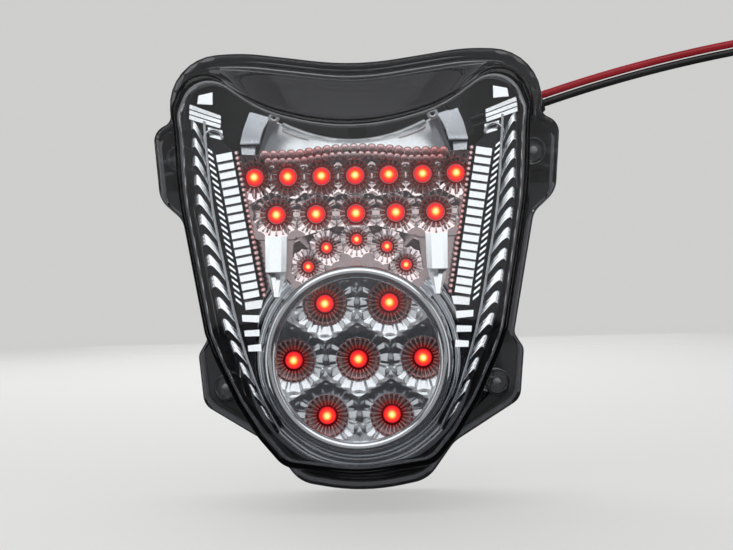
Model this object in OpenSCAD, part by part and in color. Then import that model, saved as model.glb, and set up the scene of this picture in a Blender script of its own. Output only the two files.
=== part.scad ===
// Motorcycle LED tail light: a clear dome lens over chrome reflectors, sealed on a black rear housing.
// The lens faces -Y and +Z is up, as mounted. The origin is the centre of the four mounting bolts,
// on the plane of the bosses that rest against the vehicle. All sizes are in millimetres.

/* [Body] */
// Width across the upper ears
body_w = 120; // [114:1:126]
// Height of the lens flange
body_h = 130; // [124:1:136]
// Depth from the mounting plane to the edge of the lens face
body_d = 71; // [69:1:76]
// How far the middle of the lens face bulges past its edge
lens_crown = 3; // [2:0.5:4]
// Wall thickness of the lens and of the housing
wall = 2.4; // [2:0.1:2.8]

/* [Lamps] */
// Outside diameter of the chrome ring round the lower lamp
ring_d = 52; // [51:0.5:53]
// Spacing of the seven cups in the round lamp
cup_pitch = 18; // [17.5:0.1:18.5]
// Height of the round lamp's centre
round_z = -23.3; // [-24:0.1:-22.5]
// Diameter of a large LED
led_d = 5; // [4.8:0.1:5.2]
// Diameter of a small LED
small_led_d = 3; // [2.8:0.1:3.2]

/* [Side trims] */
// Number of flat rungs in each ladder
rung_count = 17; // [13:1:19]
// Number of slanted ribs outside each ladder
rib_count = 16; // [12:1:18]

/* [Mounting] */
// Sideways spacing of the mounting bolts
bolt_dx = 48; // [44:1:52]
// Upright spacing of the mounting bolts
bolt_dz = 64; // [60:1:66]
// Diameter of the mounting bolts
bolt_d = 5; // [4:1:6]

/* [Harness] */
// Outside diameter of each wire
wire_d = 2.2; // [1.8:0.1:2.4]
// Diameter of the male bullet terminals
bullet_d = 3.9; // [3.5:0.1:4]

/* [Hidden] */
$fn = 48;

// Planes across the depth, from the back to the front. The lens faces -Y, so the front is negative.
floor_back = -6;
floor_front = floor_back - wall;
housing_front = -20.5;
gasket_t = 1.5;
flange_back = housing_front - gasket_t;
flange_t = 3;
flange_front = flange_back - flange_t;
// The clear flange stands out past the housing by this much, and the gasket past the dome's foot by seal_out.
rim_overhang = 1;
seal_out = 0.8;
face_y = -body_d;
shoulder_r = 4;
board_t = 1.6;
field_front = -50;
field_base = -42.5;
upper_board_front = -40;
upper_board_back = upper_board_front + board_t;
round_front = -60.5;
round_base = -51.5;
round_board_front = -49.5;
round_board_back = round_board_front + board_t;
trim_back = -52;
trim_front = -54;

// Outlines are drawn at a nominal size, then stretched to the driving width and height.
stretch = [body_w / 120, body_h / 130];
corner_steps = 4;
face_centre = [0, -5];
half_face = 46;

// Each outline is half a loop of [x, z, corner radius], clockwise from the top seen from the front.
flange_corners = loop([0, 62, 90],
    [[33, 66.6, 60], [56, 65.4, 15], [54.8, 46.5, 3], [60.2, 44, 5], [58.6, 23.5, 8], [52, 17.5, 6],
     [45.4, -18, 3], [48.2, -22.5, 4], [46.8, -37.5, 5], [27, -49.8, 10], [19, -60.8, 10]],
    [0, -64.5, 60]);
base_corners = loop([0, 58.8, 80],
    [[33, 63.2, 55], [52.3, 61.8, 12], [51.8, 46.8, 3], [48.6, 43.5, 2.5], [48.4, 27, 2.5], [50, 21.5, 4],
     [43.2, -17.5, 3], [38.6, -21.5, 3], [35.6, -35.5, 4], [25.2, -47.4, 8], [17.3, -57.4, 9]],
    [0, -61.2, 50]);
face_corners = loop([0, 40.4, 60],
    [[25, 46.8, 40], [43.5, 60, 8], [48.9, 46, 6], [48.3, 41, 10], [47.6, 27, 10], [47, 20.5, 10],
     [41, -15, 10], [38.4, -22, 10], [32.8, -34.2, 12], [27, -43.6, 12], [20.5, -51.4, 7]],
    [0, -54.4, 45]);

// Lens screws sit in the four ears, [x, z].
ear_bosses = [[51.8, 35.4], [-51.8, 35.4], [39.6, -32], [-39.6, -32]];
boss_r = 4;
pilot_depth = 9;

// Cup centres of the upper lamp, [x, z].
row_1 = [for (i = [-3:3]) [9.55 * i, 28.4]];
row_2 = [for (i = [-2:2]) [11.3 * i, 17.6]];
large_cups = concat(row_1, row_2);
small_cups = [[0, 10.2], [8.6, 8], [-8.6, 8], [13.9, 2.7], [-13.9, 2.7]];
round_cups = concat([[0, round_z]], [for (a = [0:60:300]) [0, round_z] + cup_pitch * [cos(a), sin(a)]]);

cup_mouth_r = 5.3;
small_mouth_r = 3.6;
round_mouth_r = 10.6;
cup_skin = 1;
plate_skin = 1.2;
large_hole_r = led_d / 2 + 0.6;
small_hole_r = small_led_d / 2 + 0.5;
reflector_boss_r = 2.4;
reflector_bite = 4;
cut = 0.01;
ring_tube_r = 1.9;
ring_r = ring_d / 2 - ring_tube_r;
lamp_r = ring_r - 0.4;
skirt_r = ring_r + 0.8;
skirt_back = -44;

// Edges of the upper lamp's field, and of the board behind it.
field_half_top = 31.6;
field_half_low = 25.2;
field_top = 34.4;
field_low = -7;
board_half_top = 33;
board_half_low = 26;
board_top = 35;
board_low = -2;

// Screws. Every screw is a self-tapping one that fits a pilot hole of its own radius, [x, z].
screw_r = 1.25;
head_r = 2.5;
head_t = 1.8;
recess_r = 0.8;
recess_depth = 1;
bite = 8;
clearance = 0.25;
post_r = 3;
board_screw_spots = [[27, 22.8], [-27, 22.8], [20.4, 3.6], [-20.4, 3.6]];
reflector_spots = [[14.2, 23], [-14.2, 23], [0, 23]];
round_screw_r = cup_pitch / sqrt(3);
board_angles = [90, 210, 330];
reflector_angles = [30, 150, 270];
trim_spots = [[39, 27], [32.6, -14.6]];
ring_lug_r = skirt_r + 3.6;
ring_lug_angles = [35, 145, 214, 326];

// Ladder and rib lines of the right-hand trim, [x, z].
ladder_top = [36.2, 33.8];
ladder_low = [29.6, -4.6];
rung_size = [4.1, 1.8];
rib_outer = [[45.6, 46], [44.7, 22], [41.6, 1.5], [38.3, -12.8], [34.1, -24], [29.4, -34], [23.2, -44.2]];
rib_inner = [[42.2, 44], [40.4, 21], [37.3, 3], [34.8, -10], [31.6, -22.5], [28, -33], [22.8, -43.2]];
// How far the trim's plate reaches inside the ladder line, and its edge beside the round lamp, [x, z].
plate_inside = 3.4;
plate_by_lamp = [[22, -41], [29.4, -26], [27.2, -8]];
plate_t = 1.4;
// A rib rises by rib_rise of the line's length on its way out, and is rib_share of a pitch thick.
rib_rise = 0.055;
rib_share = 0.3;
rib_reach = 0.94;

// The visor's edge rises from visor_dip in the middle to visor_end at both ends, where the ears are.
visor_half = 27;
visor_dip = 37.7;
visor_end = 47.3;
ear_inside = 20;
ear_top = 46.8;
pin_spot = [22.2, 44.7];
pin_r = 1.15;
pin_lip = 0.5;

// Harness: it leaves the right wall, arches over and hangs down.
exit_point = [53.6, 50.9];
exit_heading = 17.5;
wire_y = -14.5;
wire_gap = wire_d + 0.3;
arch_r = 420;
arch_turn = 8;
red_turn_r = 14;
black_turn_r = 7.5;
turn_down = 90 + exit_heading - arch_turn;
drop = 6;
grommet_r = 3.4;
grommet_lip_r = 4.4;
grommet_out = 0.5;
grommet_in = -4.4;
clamp_reach = 23;
clamp_rise = 8;
clamp_wall = 1.2;
clamp_long = 6;
clamp_tab = 2;
clamp_y = wire_y + wire_d / 2 + clamp_wall;
clamp_spot = exit_point - clamp_reach * [cos(exit_heading), sin(exit_heading)]
    - clamp_rise * [sin(exit_heading), -cos(exit_heading)];
sleeve_len = 12;
sleeve_r = 2.6;
bullet_len = 9;

clear = [0.92, 0.96, 1, 0.35];
chrome = [0.82, 0.84, 0.86];
black = [0.08, 0.08, 0.09];
steel = [0.7, 0.71, 0.73];
brass = [0.8, 0.66, 0.3];
board_green = [0.1, 0.35, 0.18];

// ---- Outline helpers ----

function unit(v) = v / norm(v);

// A closed loop from its top corner, its right half and its bottom corner.
function loop(top, half, bottom) =
    concat([top], half, [bottom], [for (i = [len(half) - 1:-1:0]) [-half[i].x, half[i].y, half[i].z]]);

// Points of the arc that rounds corner b between its neighbours a and c. Each corner is [x, z, radius].
function corner_arc(a, b, c, steps) =
    let (p = [b.x, b.y],
         u = unit([a.x, a.y] - p),
         w = unit([c.x, c.y] - p),
         half = acos(u * w) / 2,
         centre = p + unit(u + w) * b.z / sin(half),
         from = p + u * b.z / tan(half) - centre,
         to = p + w * b.z / tan(half) - centre,
         start = atan2(from.y, from.x),
         sweep = atan2(cross(from, to), from * to))
    [for (i = [0:steps]) centre + b.z * [cos(start + sweep * i / steps), sin(start + sweep * i / steps)]];

function rounded(corners, steps) =
    let (n = len(corners))
    [for (i = [0:n - 1]) each corner_arc(corners[(i + n - 1) % n], corners[i], corners[(i + 1) % n], steps)];

function stretched(points) = [for (p = points) [p.x * stretch.x, p.y * stretch.y]];
function outline(corners) = stretched(rounded(corners, corner_steps));
function scaled_about(points, centre, s) = [for (p = points) centre + (p - centre) * s];
function lerp(a, b, t) = a + (b - a) * t;

// The point a share t of the way along a polyline whose spans count equally.
function along(line, t) =
    let (spans = len(line) - 1, at = max(0, min(t * spans, spans - 0.0001)), i = floor(at))
    lerp(line[i], line[i + 1], at - i);

flange_line = outline(flange_corners);
base_line = outline(base_corners);
face_line = outline(face_corners);

// ---- Solid helpers ----

// A 2D shape drawn in [x, z], made solid from depth front to depth back.
module slab(front, back)
    translate([0, back, 0]) rotate([90, 0, 0]) linear_extrude(back - front) children();

// A round post along Y at spot [x, z].
module post(spot, r, front, back)
    translate([spot.x, back, spot.y]) rotate([90, 0, 0]) cylinder(r = r, h = back - front);

// A cone along Y at spot [x, z], with its own radius at each end.
module taper(spot, front_r, back_r, front, back)
    translate([spot.x, back, spot.y]) rotate([90, 0, 0])
        cylinder(r1 = back_r, r2 = front_r, h = back - front);

// A round bar between two points.
module bar(a, b, d) {
    v = b - a;
    translate(a) rotate([0, acos(v.z / norm(v)), atan2(v.y, v.x)]) cylinder(d = d, h = norm(v));
}

// Bars from point to point. The balls at the bends are fatter than the bars by a factor of ball.
module round_run(points, d, ball) {
    last = len(points) - 1;
    for (i = [1:last]) bar(points[i - 1], points[i], d);
    for (i = [1:last - 1]) translate(points[i]) sphere(d = d * ball);
}

// ---- Lens ----

// Layers of the dome from the flange to the face: [depth, blend from base to face, scale].
dome_layers = concat(
    [for (i = [0:3]) [lerp(flange_front, face_y + shoulder_r, i / 3), i / 3, 1]],
    [for (a = [30, 60, 90])
        [face_y + shoulder_r * (1 - sin(a)), 1, 1 - shoulder_r * (1 - cos(a)) / half_face]],
    [for (i = [1:3]) let (s = (1 - shoulder_r / half_face) * (1 - i / 4))
        [face_y - lens_crown * (1 - s * s), 1, s]]);

function at_depth(points, y) = [for (p = points) [p.x, y, p.y]];
function shrunk(points, inset) = scaled_about(points, face_centre, 1 - inset / half_face);
function layer_line(layer) = scaled_about(lerp_lines(base_line, face_line, layer[1]), face_centre, layer[2]);
function lerp_lines(a, b, t) = [for (i = [0:len(a) - 1]) lerp(a[i], b[i], t)];

// The lens as one closed skin: round the back of the flange, over its edge, up the dome and down inside it.
module lens_shell() {
    n = len(base_line);
    rings = concat(
        [shrunk(base_line, wall), flange_line, flange_line],
        [for (layer = dome_layers) layer_line(layer)]);
    depths = concat([flange_back, flange_back, flange_front], [for (layer = dome_layers) layer[0]]);
    count = len(rings);
    outer = [for (j = [0:count - 1]) each at_depth(rings[j], depths[j])];
    inner = [for (layer = dome_layers) each at_depth(shrunk(layer_line(layer), wall), layer[0] + wall)];
    tips = [[face_centre.x, face_y - lens_crown, face_centre.y],
            [face_centre.x, face_y - lens_crown + wall, face_centre.y]];
    first_inner = len(outer);
    tip = first_inner + len(inner);
    inner_rings = len(dome_layers);
    function band(a, b) =
        [for (i = [0:n - 1]) let (k = (i + 1) % n) each [[a + i, a + k, b + k], [a + i, b + k, b + i]]];
    function cap(ring, apex, flip) =
        [for (i = [0:n - 1]) let (k = (i + 1) % n)
            flip ? [ring + k, ring + i, apex] : [ring + i, ring + k, apex]];
    polyhedron(concat(outer, inner, tips), concat(
        [for (j = [0:count - 2]) each band(j * n, (j + 1) * n)],
        cap((count - 1) * n, tip, false),
        [for (j = [0:inner_rings - 2]) each band(first_inner + (j + 1) * n, first_inner + j * n)],
        cap(first_inner + (inner_rings - 1) * n, tip + 1, true),
        band(first_inner, 0)));
}

module outer_lens() color(clear) difference() {
    union() {
        lens_shell();
        for (p = ear_bosses) post(p, boss_r, flange_front - 7, flange_front + 0.5);
    }
    for (p = ear_bosses) post(p, screw_r, flange_back - pilot_depth, flange_back + 1);
}

module lens_gasket() color(black) slab(flange_back, housing_front) difference() {
    offset(delta = seal_out) polygon(base_line);
    polygon(shrunk(base_line, 1));
}

// ---- Housing ----

insert_r = bolt_d / 2 + 1.2;
insert_depth = 9;
mount_boss_r = insert_r + 2.6;
breather_spot = [0, 44];
breather_r = 3;

module bolt_spots()
    for (x = [-1, 1], z = [-1, 1]) translate([x * bolt_dx / 2, 0, z * bolt_dz / 2]) children();

// Places its children with their Z axis along the harness where it crosses the wall.
module at_exit() translate([exit_point.x, wire_y, exit_point.y]) rotate([0, 90 - exit_heading, 0]) children();

function round_screw_spot(angle) = [round_screw_r * cos(angle), round_z + round_screw_r * sin(angle)];
function ring_lug_spot(angle) = [ring_lug_r * cos(angle), round_z + ring_lug_r * sin(angle)];
function mirrored(spots) = concat(spots, [for (p = spots) [-p.x, p.y]]);

module rear_housing() color(black) {
    difference() {
        union() {
            difference() {
                slab(housing_front, floor_back) offset(delta = -rim_overhang) polygon(flange_line);
                slab(housing_front - 1, floor_front) offset(delta = -wall) polygon(base_line);
            }
            bolt_spots() rotate([90, 0, 0]) cylinder(r = mount_boss_r, h = insert_depth + wall);
            for (p = board_screw_spots) post(p, post_r, upper_board_back, floor_front + 0.5);
            for (a = board_angles) post(round_screw_spot(a), post_r, round_board_back, floor_front + 0.5);
            for (a = ring_lug_angles) post(ring_lug_spot(a), post_r, skirt_back, floor_front + 0.5);
            post(clamp_spot, post_r, clamp_y, floor_front + 0.5);
        }
        bolt_spots() rotate([90, 0, 0]) translate([0, 0, -1]) cylinder(r = insert_r, h = insert_depth + 1);
        for (p = ear_bosses) {
            post(p, screw_r + clearance, housing_front - 1, floor_back + 1);
            post(p, head_r + clearance, floor_back - 4, floor_back + 1);
        }
        for (p = mirrored(trim_spots)) post(p, screw_r + clearance, floor_front - 1, floor_back + 1);
        for (p = board_screw_spots) post(p, screw_r, upper_board_back - 1, upper_board_back + bite);
        for (a = board_angles)
            post(round_screw_spot(a), screw_r, round_board_back - 1, round_board_back + bite);
        for (a = ring_lug_angles) post(ring_lug_spot(a), screw_r, skirt_back - 1, skirt_back + bite);
        post(clamp_spot, screw_r, clamp_y - 1, floor_back - 1);
        at_exit() {
            translate([0, 0, -10]) cylinder(r = grommet_r, h = 20);
            translate([0, 0, grommet_out]) cylinder(r = grommet_lip_r + 0.3, h = 10);
            translate([0, 0, grommet_in - 6]) cylinder(r = grommet_lip_r + 0.3, h = 6);
        }
        post(breather_spot, breather_r, floor_front - 1, floor_back + 1);
    }
}

module mounting_inserts() color(brass) bolt_spots() rotate([90, 0, 0]) difference() {
    cylinder(r = insert_r, h = insert_depth);
    translate([0, 0, -1]) cylinder(d = bolt_d, h = insert_depth + 2);
}

module breather_cap() color(black) {
    post(breather_spot, breather_r, floor_front, floor_back);
    difference() {
        post(breather_spot, breather_r + 2.6, floor_back, floor_back + 2.6);
        for (a = [45:90:315])
            post(breather_spot + (breather_r + 2.6) * [cos(a), sin(a)], 0.8, floor_back - 1, floor_back + 4);
    }
}

// ---- Screws ----

// A pan-head screw at [x, z] with its head's underside at depth seat. It points along side: -1 is
// forwards, 1 is backwards.
module screw(spot, seat, long, side) {
    head = seat - side * head_t;
    tip = seat + side * long;
    difference() {
        post(spot, head_r, min(seat, head), max(seat, head));
        post(spot, recess_r, min(head, head + side * recess_depth), max(head, head + side * recess_depth));
    }
    post(spot, screw_r, min(seat, tip), max(seat, tip));
}

module lens_screws() color(steel)
    for (p = ear_bosses) screw(p, floor_back - 4, pilot_depth - 1 - flange_back + floor_back - 4, -1);

module trim_screws() color(steel) for (p = mirrored(trim_spots)) screw(p, floor_back, wall + bite - 1, -1);

module board_screws() color(steel) {
    for (p = board_screw_spots) screw(p, upper_board_front, board_t + bite - 1, 1);
    for (a = board_angles) screw(round_screw_spot(a), round_board_front, board_t + bite - 1, 1);
}

module reflector_screws() color(steel) {
    for (p = reflector_spots) screw(p, upper_board_back, board_t + reflector_bite, -1);
    for (a = reflector_angles) screw(round_screw_spot(a), round_board_back, board_t + reflector_bite, -1);
}

module ring_screws() color(steel)
    for (a = ring_lug_angles) screw(ring_lug_spot(a), skirt_back - 2, 2 + bite - 1, 1);

// ---- Reflectors ----

module field_shape() difference() {
    polygon([[-field_half_top, field_top], [field_half_top, field_top],
             [field_half_low, field_low], [-field_half_low, field_low]]);
    translate([0, round_z]) circle(r = skirt_r + 0.5, $fn = 96);
}

module cup_walls(spots, mouth_r, hole_r)
    for (p = spots) taper(p, mouth_r + cup_skin, hole_r + cup_skin, field_front, field_base);

module cup_bores(spots, mouth_r, hole_r)
    for (p = spots) taper(p, mouth_r, hole_r, field_front - cut, field_base + cut);

// The ear that carries one end of the visor.
module visor_ear(side) slab(field_front, field_front + plate_skin)
    polygon([[side * ear_inside, field_top - 1], [side * visor_half, field_top - 1],
             [side * visor_half, visor_end], [side * ear_inside, ear_top]]);

module main_reflector() color(chrome) difference() {
    union() {
        slab(field_front, field_front + plate_skin) field_shape();
        intersection() {
            union() {
                cup_walls(large_cups, cup_mouth_r, large_hole_r);
                cup_walls(small_cups, small_mouth_r, small_hole_r);
            }
            slab(field_front, field_base) field_shape();
        }
        for (p = reflector_spots) post(p, reflector_boss_r, field_front + 1, upper_board_front);
        for (s = [-1, 1]) visor_ear(s);
    }
    cup_bores(large_cups, cup_mouth_r, large_hole_r);
    cup_bores(small_cups, small_mouth_r, small_hole_r);
    for (p = reflector_spots) post(p, screw_r, upper_board_front - reflector_bite, upper_board_front + 1);
    for (s = [-1, 1]) post([s * pin_spot.x, pin_spot.y], pin_r, field_front - 1, field_front + 2);
}

module round_reflector() color(chrome) difference() {
    union() {
        post([0, round_z], lamp_r, round_front, round_front + plate_skin);
        intersection() {
            for (p = round_cups)
                taper(p, round_mouth_r + cup_skin, large_hole_r + cup_skin, round_front, round_base);
            post([0, round_z], lamp_r, round_front, round_base);
        }
        for (a = reflector_angles)
            post(round_screw_spot(a), reflector_boss_r, round_front + 1, round_board_front);
    }
    for (p = round_cups) taper(p, round_mouth_r, large_hole_r, round_front - cut, round_base + cut);
    for (a = reflector_angles)
        post(round_screw_spot(a), screw_r, round_board_front - reflector_bite, round_board_front + 1);
}

// The bright ring: a tube section in front, a skirt behind it and four lugs screwed to the housing.
module round_ring() color(chrome) {
    translate([0, 0, round_z]) rotate([90, 0, 0]) difference() {
        union() {
            rotate_extrude($fn = 96) translate([ring_r, 1 - round_front]) circle(r = ring_tube_r, $fn = 24);
            translate([0, 0, -skirt_back]) cylinder(r = skirt_r, h = skirt_back - round_front + 1, $fn = 96);
            for (a = ring_lug_angles) rotate([0, 0, a]) translate([skirt_r - 1, -post_r, -skirt_back])
                cube([ring_lug_r - skirt_r + 1 + head_r, 2 * post_r, 2]);
        }
        translate([0, 0, -skirt_back - 1]) cylinder(r = lamp_r, h = 30, $fn = 96);
        for (a = ring_lug_angles) rotate([0, 0, a]) translate([ring_lug_r, 0, -skirt_back - 1])
            cylinder(r = screw_r + clearance, h = 4);
    }
}

// Concave upper edge of the visor, from one end to the other.
function visor_edge(x) = lerp(visor_dip, visor_end, pow(x / visor_half, 2));

module visor_panel() color(chrome) slab(field_front - plate_skin, field_front) difference() {
    polygon(concat([[visor_half, field_top - 0.4], [-visor_half, field_top - 0.4]],
        [for (x = [-visor_half:3:visor_half]) [x, visor_edge(x)]]));
    for (s = [-1, 1]) translate([s * pin_spot.x, pin_spot.y]) circle(r = pin_r);
}

module visor_pins() color(chrome) for (s = [-1, 1]) difference() {
    union() {
        post([s * pin_spot.x, pin_spot.y], pin_r, field_front - 2, field_front + 2);
        post([s * pin_spot.x, pin_spot.y], pin_r + pin_lip, field_front + plate_skin, field_front + 2);
        post([s * pin_spot.x, pin_spot.y], pin_r + pin_lip, field_front - 2, field_front - plate_skin);
    }
    post([s * pin_spot.x, pin_spot.y], pin_r - pin_lip, field_front - 3, field_front + 3);
}

// ---- Side trims ----

trim_lean = atan2(ladder_top.x - ladder_low.x, ladder_top.y - ladder_low.y);

// One slanted rib. It stops just short of the plate's edge.
module rib(t) {
    thick = rib_share / rib_count;
    function outer_end(t) = lerp(along(rib_inner, t), along(rib_outer, t), rib_reach);
    polygon([along(rib_inner, t), along(rib_inner, t + thick),
             outer_end(t - rib_rise + thick), outer_end(t - rib_rise)]);
}

// The right-hand trim: a plate, the ladder, the ribs and two drilled legs.
module trim_half() difference() {
    union() {
        slab(trim_back, trim_back + plate_t) polygon(concat(rib_outer, plate_by_lamp,
            [ladder_low - [plate_inside, 0], ladder_top - [plate_inside, 0], [38, 46]]));
        slab(trim_front, trim_back) for (i = [0:rung_count - 1])
            translate(lerp(ladder_top, ladder_low, i / (rung_count - 1))) rotate(-trim_lean)
                square(rung_size, center = true);
        slab(trim_front + 0.6, trim_back) for (i = [1:rib_count]) rib(i / (rib_count + 0.5));
        for (p = trim_spots) post(p, post_r, trim_back + 1, floor_front);
    }
    for (p = trim_spots) post(p, screw_r, floor_front - bite, floor_front + 1);
}

module side_trim_right() color(chrome) trim_half();
module side_trim_left() color(chrome) mirror([1, 0, 0]) trim_half();

// ---- Boards and parts on them ----

lead_r = 0.3;
lead_half = 1.27;
led_long = 6.6;
small_led_long = 6.2;
resistor = [2.3, 6];
diode = [2.7, 5.2];

module lead_holes(spots)
    for (p = spots, s = [-1, 1]) translate([p.x + s * lead_half, p.y]) circle(r = lead_r + 0.1);

module upper_board() color(board_green) slab(upper_board_front, upper_board_back) difference() {
    polygon([[-board_half_top, board_top], [board_half_top, board_top],
             [board_half_low, board_low], [-board_half_low, board_low]]);
    for (p = board_screw_spots) translate(p) circle(r = screw_r + clearance);
    for (p = reflector_spots) translate(p) circle(r = screw_r + clearance);
    lead_holes(concat(large_cups, small_cups));
}

module round_board() color(board_green) slab(round_board_front, round_board_back) difference() {
    translate([0, round_z]) circle(r = lamp_r - 0.3, $fn = 96);
    for (a = concat(board_angles, reflector_angles))
        translate(round_screw_spot(a)) circle(r = screw_r + clearance);
    lead_holes(round_cups);
}

// An LED on a board front: rim, body, dome and two leads through the board.
module led(spot, d, long, front) {
    post(spot, d / 2 + 0.4, front - 1, front);
    post(spot, d / 2, front - long + d / 2, front);
    translate([spot.x, front - long + d / 2, spot.y]) sphere(d = d);
    for (s = [-1, 1]) post([spot.x + s * lead_half, spot.y], lead_r, front, front + board_t + 1.2);
}

module round_leds() color("red") for (p = round_cups) led(p, led_d, led_long, round_board_front);
module large_leds() color("red") for (p = large_cups) led(p, led_d, led_long, upper_board_front);
module small_leds() color("red") for (p = small_cups) led(p, small_led_d, small_led_long, upper_board_front);

// An axial part of size [diameter, length], lying along X behind a board.
module axial(spot, back, size) {
    d = size.x;
    long = size.y;
    y = back + d / 2 + 0.4;
    translate([spot.x - long / 2, y, spot.y]) rotate([0, 90, 0]) cylinder(d = d, h = long);
    for (s = [-1, 1]) {
        translate([spot.x + s * long / 2, y, spot.y]) rotate([0, s * 90, 0]) cylinder(r = lead_r, h = 1.5);
        post([spot.x + s * (long / 2 + 1.5), spot.y], lead_r, back, y + lead_r);
    }
}

module round_resistors() color("tan")
    for (rise = [4, -4, -17]) axial([0, round_z + rise], round_board_back, resistor);
module upper_resistors() color("tan")
    for (x = [-8, 8], z = [6, 12.8, 32]) axial([x, z], upper_board_back, resistor);
module protection_diodes() color(black) for (z = [12.8, 32]) axial([-22, z], upper_board_back, diode);

// ---- Harness ----

jumper_x = 7;
jumper_d = 1.1;
jumper_ball = 1.2;
module jumper_wires() color("white") for (s = [-1, 1]) round_run([
    [s * jumper_x, upper_board_back + jumper_d / 2, 1.5], [s * jumper_x, upper_board_back + 4, -3],
    [s * jumper_x, upper_board_back + 1, -12], [s * jumper_x, round_board_back + jumper_d / 2, round_z + 8]],
    jumper_d, jumper_ball);

// A ball that joins two lengths of wire. It is a little fatter than the wire, and the lengths stop
// join_gap apart inside it.
join_gap = 0.1;
joint_ball = 1.06;
wire_ball = 1.08;
module wire_joint() sphere(d = wire_d * joint_ball);

// A bend of a wire that starts along +Z and turns towards +X.
module bend(r, turn)
    translate([r, 0, 0]) rotate([90, 0, 180])
        rotate_extrude(angle = turn - atan(join_gap / r), $fn = r > 100 ? 720 : 96)
            translate([r, 0]) circle(d = wire_d);

// Places its children where such a bend ends.
module past_bend(r, turn) translate([r, 0, 0]) rotate([0, turn, 0]) translate([-r, 0, 0]) children();

// Follows one wire out of the wall to its end, shift to the side of the harness centre line.
exit_straight = 4;
module wire_tail(shift, inside, turn_r, drop) at_exit() translate([shift, 0, 0]) {
    translate([0, 0, -inside]) cylinder(d = wire_d, h = inside + exit_straight - join_gap);
    translate([0, 0, exit_straight]) {
        wire_joint();
        bend(arch_r - shift, arch_turn);
        past_bend(arch_r - shift, arch_turn) {
            wire_joint();
            bend(turn_r, turn_down);
            past_bend(turn_r, turn_down) {
                wire_joint();
                cylinder(d = wire_d, h = drop + 4);
            }
        }
    }
}

module at_wire_end(shift, turn_r, drop)
    at_exit() translate([shift, 0, exit_straight]) past_bend(arch_r - shift, arch_turn)
        past_bend(turn_r, turn_down) translate([0, 0, drop]) children();

// Where a wire starts, behind the clamp, and its way to the back of the upper board.
function wire_start(shift, inside) =
    exit_point - inside * [cos(exit_heading), sin(exit_heading)]
    + shift * [sin(exit_heading), -cos(exit_heading)];

module wire(shift, inside, turn_r, drop, board_x) {
    start = wire_start(shift, inside);
    wire_tail(shift, inside, turn_r, drop);
    translate([start.x, wire_y, start.y]) wire_joint();
    round_run([[start.x, wire_y, start.y], [board_x, wire_y - 4, 35], [board_x, upper_board_back + 6, 31],
               [board_x, upper_board_back + wire_d / 2, 31]], wire_d, wire_ball);
}

red_shift = -wire_gap / 2;
black_shift = wire_gap / 2;
black_inside = clamp_reach + clamp_long;
red_inside = black_inside + 3;
red_drop = drop + 4;
black_drop = drop;

module red_wire() color("red") wire(red_shift, red_inside, red_turn_r, red_drop, 21.5);
module black_wire() color(black) wire(black_shift, black_inside, black_turn_r, black_drop, 26.4);

module at_wire_ends() {
    at_wire_end(red_shift, red_turn_r, red_drop) children();
    at_wire_end(black_shift, black_turn_r, black_drop) children();
}

// A male bullet with a crimp barrel, on the end of each wire.
module bullet_terminals() color(brass) at_wire_ends() {
    difference() {
        cylinder(r = wire_d / 2 + 0.4, h = sleeve_len - 2);
        translate([0, 0, -1]) cylinder(d = wire_d, h = 5);
    }
    translate([0, 0, sleeve_len - 2]) cylinder(d = bullet_d, h = bullet_len - bullet_d / 2);
    translate([0, 0, sleeve_len - 2 + bullet_len - bullet_d / 2]) sphere(d = bullet_d);
}

module terminal_sleeves() color("white") at_wire_ends() translate([0, 0, -2]) difference() {
    cylinder(r = sleeve_r, h = sleeve_len);
    translate([0, 0, -1]) cylinder(d = wire_d, h = sleeve_len + 2);
    translate([0, 0, 2]) cylinder(r = wire_d / 2 + 0.4, h = sleeve_len + 2);
}

module wire_bores() for (shift = [red_shift, black_shift])
    translate([shift, 0, -clamp_reach - 10]) cylinder(d = wire_d, h = clamp_reach + 20);

module wire_grommet() color(black) at_exit() difference() {
    union() {
        translate([0, 0, grommet_in]) cylinder(r = grommet_r, h = grommet_out - grommet_in);
        translate([0, 0, grommet_out]) cylinder(r1 = grommet_lip_r, r2 = grommet_lip_r - 1, h = 1.8);
        translate([0, 0, grommet_in - 1.5]) cylinder(r = grommet_lip_r, h = 1.5);
    }
    wire_bores();
}

module wire_clamp() color(black) difference() {
    union() {
        at_exit() translate([0, 0, -clamp_reach]) {
            span = wire_gap + wire_d + 2 * clamp_wall;
            cube([span, wire_d + 2 * clamp_wall, clamp_long], center = true);
            translate([-clamp_rise, wire_d / 2 + clamp_wall - clamp_tab, -clamp_long / 2])
                cube([clamp_rise, clamp_tab, clamp_long]);
        }
        post(clamp_spot, clamp_long / 2, clamp_y - clamp_tab, clamp_y);
    }
    at_exit() wire_bores();
    post(clamp_spot, screw_r + clearance, clamp_y - clamp_tab - 1, clamp_y + 1);
}

module clamp_screw() color(steel) screw(clamp_spot, clamp_y - clamp_tab, clamp_tab + 3.6, 1);

outer_lens();
lens_gasket();
rear_housing();
lens_screws();
mounting_inserts();
round_ring();
round_reflector();
main_reflector();
side_trim_left();
side_trim_right();
visor_panel();
visor_pins();
round_leds();
large_leds();
small_leds();
round_board();
upper_board();
board_screws();
reflector_screws();
trim_screws();
ring_screws();
round_resistors();
upper_resistors();
protection_diodes();
jumper_wires();
wire_grommet();
wire_clamp();
clamp_screw();
red_wire();
black_wire();
bullet_terminals();
terminal_sleeves();
breather_cap();
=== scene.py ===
"""Looks of the LED tail light: a clear dome over fluted chrome reflectors, lit red LEDs and side trims.

Lengths are in millimetres, in the frame's own axes, and Build.piece() turns them into metres.
The lens faces -Y and +Z is up. Depths come from the boxes of the CAD nodes.
"""
import bisect
import math

import bmesh
import bpy
from mathutils import Matrix, Vector


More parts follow.
